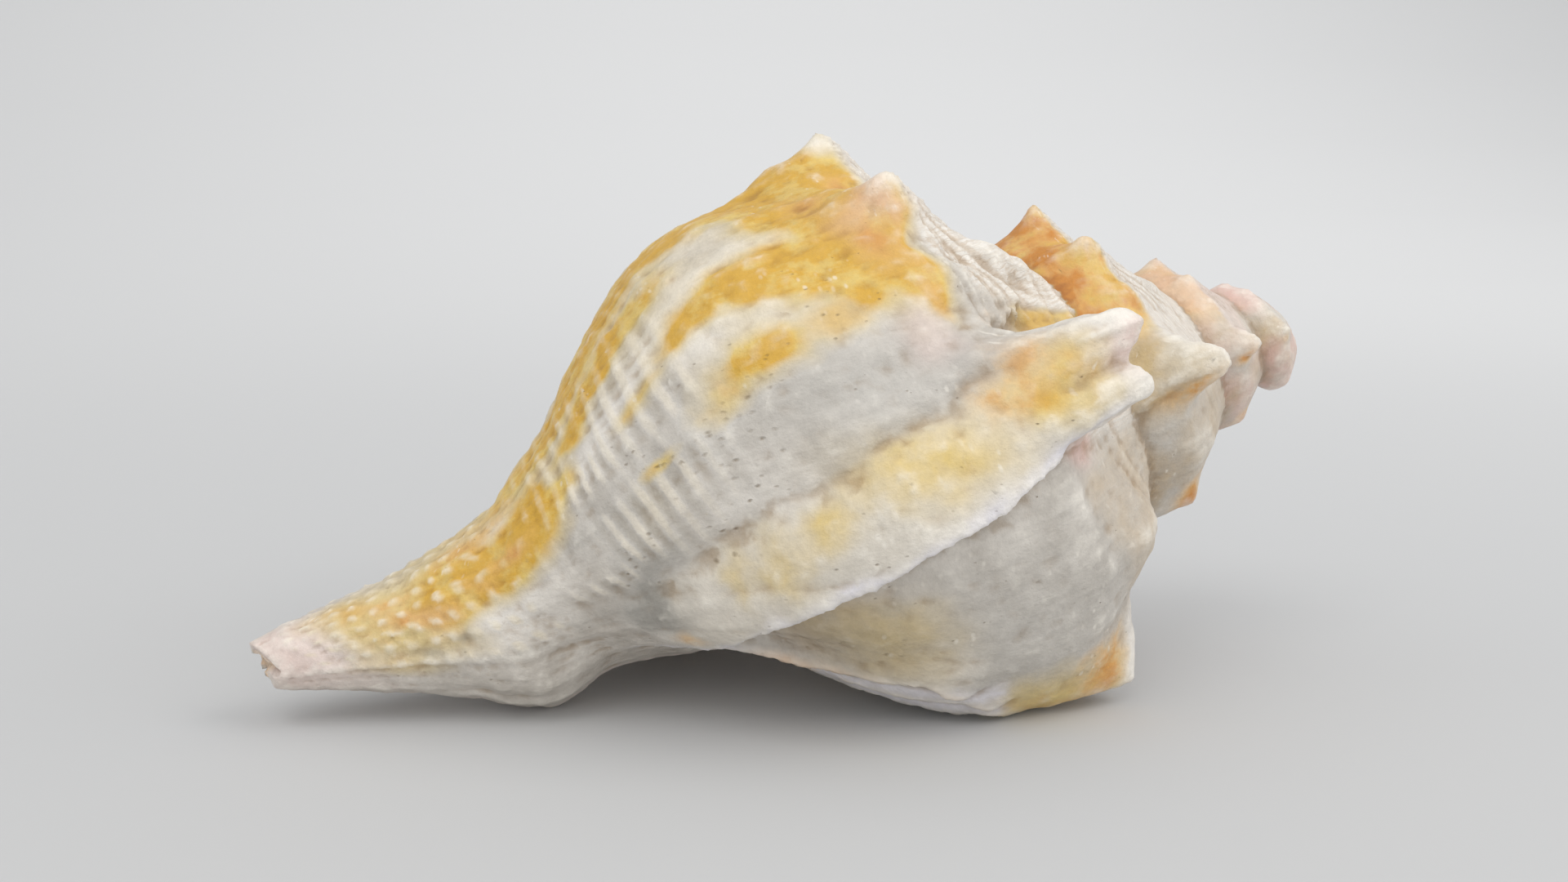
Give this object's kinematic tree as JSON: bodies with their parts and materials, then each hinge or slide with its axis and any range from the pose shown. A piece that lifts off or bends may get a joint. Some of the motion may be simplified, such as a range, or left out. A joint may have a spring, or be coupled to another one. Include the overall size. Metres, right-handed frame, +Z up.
{
  "type": "triton shell",
  "caption": "Worn knobbed triton shell lying on its mouth: stout last whorl, stepped spire, growth ridges and a long straight canal.",
  "frame": {"origin": "middle of the bounding box in X and Y, at its lowest point: the level surface the shell lies on", "axes": "+X along the shell toward the apex of the spire, the canal toward -X; -Y is the side with the growth ridge, the mouth faces down and its lip is at +Y; +Z up"},
  "size_m": [0.1372, 0.0787, 0.0681],
  "materials": {
    "worn_shell": "worn and slightly glossy, off-white with golden-orange patches"
  },
  "bodies": {
    "root": {"shell": "worn_shell"}
  },
  "joints": []
}
